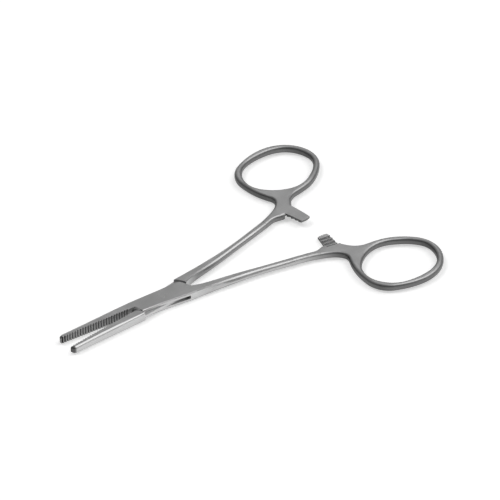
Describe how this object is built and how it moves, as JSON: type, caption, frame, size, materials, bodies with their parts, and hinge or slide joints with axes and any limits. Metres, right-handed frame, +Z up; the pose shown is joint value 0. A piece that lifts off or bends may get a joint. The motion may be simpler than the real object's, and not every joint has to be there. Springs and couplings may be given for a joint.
{
  "type": "hemostatic forceps",
  "caption": "Slim stainless ring-handled artery forceps with straight grooved jaws, a box joint and a ratchet between the shanks.",
  "frame": {"origin": "on the hinge axis of the box joint, on the flat underside that the forceps lie on", "axes": "+X along the forceps from the jaws to the finger rings, +Y towards the male half's ring, +Z up along the hinge axis, out of the upper cheek"},
  "size_m": [0.1233, 0.0868, 0.0032],
  "materials": {
    "steel_female": "satin",
    "steel_male": "satin",
    "steel_rivet": "satin"
  },
  "bodies": {
    "female": {"female_half": "steel_female", "rivet": "steel_rivet"},
    "male": {"male_half": "steel_male"}
  },
  "joints": [
    {"name": "box_joint", "type": "hinge", "parent": "female", "child": "male", "pos_m": [0, 0, 0.0016], "axis": [0, 0, 1], "range_deg": [-8, 46]}
  ]
}
